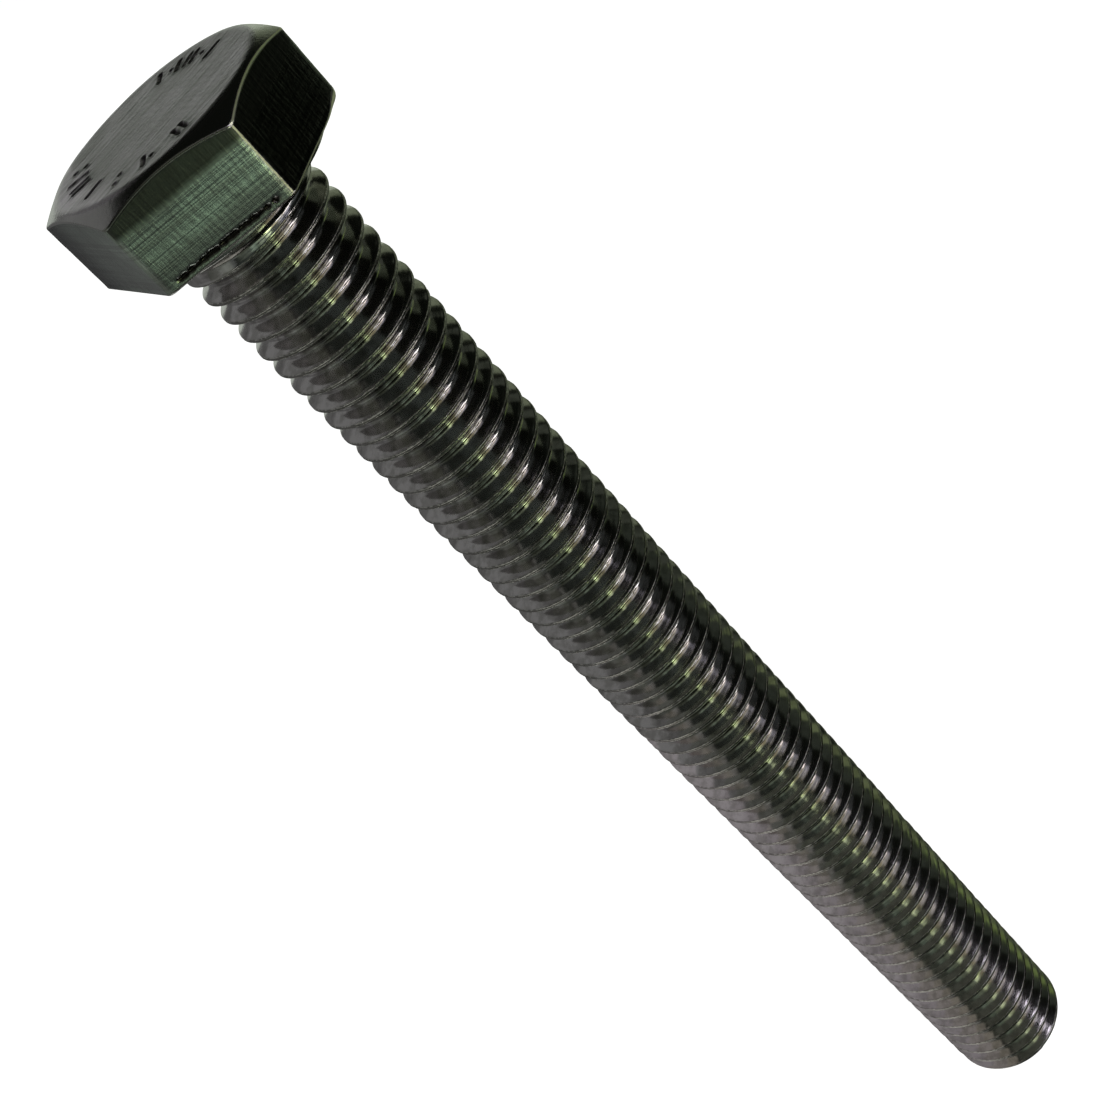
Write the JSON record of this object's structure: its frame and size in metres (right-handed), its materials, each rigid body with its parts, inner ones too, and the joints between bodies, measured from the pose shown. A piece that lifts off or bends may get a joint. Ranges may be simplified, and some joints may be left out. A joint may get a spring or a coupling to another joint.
{
  "type": "hex bolt",
  "caption": "Fully threaded stainless hex head bolt: hexagon head with a chamfered crown and thin washer face on a long coarse right-hand threaded shank with a chamfered end.",
  "frame": {"origin": "centre of the bearing face under the head (the face that meets the clamped part)", "axes": "+Z along the bolt's axis, from the threaded end to the head; two opposite corners of the hexagon lie on the X axis and two flats face +Y and -Y"},
  "size_m": [0.0216, 0.019, 0.1348],
  "materials": {
    "stainless_steel": "plain stainless: satin forged head, smooth rolled thread flanks, slightly rough crests"
  },
  "bodies": {
    "root": {"hex_bolt": "stainless_steel"}
  },
  "joints": []
}
